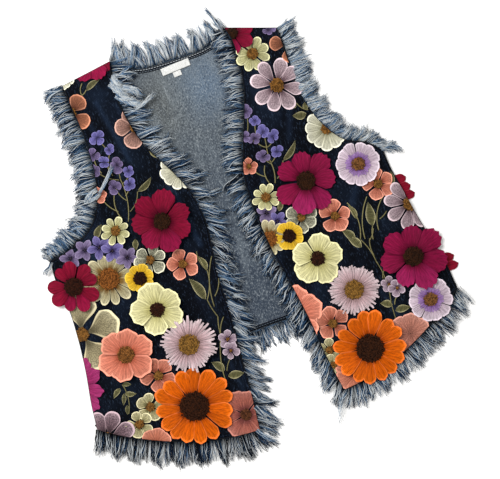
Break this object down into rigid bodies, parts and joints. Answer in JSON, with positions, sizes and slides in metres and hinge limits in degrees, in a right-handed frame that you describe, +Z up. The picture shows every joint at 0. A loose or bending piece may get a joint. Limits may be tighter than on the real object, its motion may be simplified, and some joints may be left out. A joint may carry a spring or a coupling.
{
  "type": "embroidered denim waistcoat",
  "caption": "Sleeveless open-front denim waistcoat laid flat on its back, with embroidered flowers and frayed edges.",
  "frame": {"origin": "on the back panel's flat underside, on the centre-back line, level with the bottom of the armholes", "axes": "+X to the right for a viewer who looks down on it, +Y towards the neck, +Z up from the surface it lies on"},
  "size_m": [0.5531, 0.5971, 0.0184],
  "materials": {
    "dark_denim": "dark indigo cotton twill",
    "washed_denim": "washed grey-blue cotton twill, wrong side",
    "frayed_denim": "frayed blue and white cotton threads",
    "woven_label": "white woven tape",
    "crimson_thread": "satin-stitched embroidery thread",
    "orange_thread": "satin-stitched embroidery thread",
    "cream_thread": "satin-stitched embroidery thread",
    "coral_thread": "satin-stitched embroidery thread",
    "pink_thread": "satin-stitched embroidery thread",
    "lilac_thread": "satin-stitched embroidery thread"
  },
  "bodies": {
    "root": {"front_left": "dark_denim", "front_right": "dark_denim", "back_panel": "washed_denim", "fringe_back_neck": "frayed_denim", "fringe_edge_left": "frayed_denim", "fringe_edge_right": "frayed_denim", "fringe_armhole_left": "frayed_denim", "fringe_armhole_right": "frayed_denim", "fringe_back_armhole_left": "frayed_denim", "fringe_back_armhole_right": "frayed_denim", "fringe_hem_left": "frayed_denim", "fringe_hem_right": "frayed_denim", "fringe_back_hem": "frayed_denim", "neck_label": "woven_label", "size_tab": "woven_label", "flower_crimson_left_chest": "crimson_thread", "flower_crimson_left_side": "crimson_thread", "flower_crimson_right_chest": "crimson_thread", "flower_crimson_right_side": "crimson_thread", "petals_back_upper": "crimson_thread", "petals_back_lower": "crimson_thread", "flower_orange_left": "orange_thread", "flower_orange_right": "orange_thread", "flower_cream_left": "cream_thread", "flower_cream_right": "cream_thread", "flower_coral_left": "coral_thread", "flower_aster_left": "pink_thread", "flower_aster_right": "pink_thread", "flower_lilac_right_chest": "lilac_thread", "flower_lilac_right_hem": "lilac_thread"}
  },
  "joints": []
}
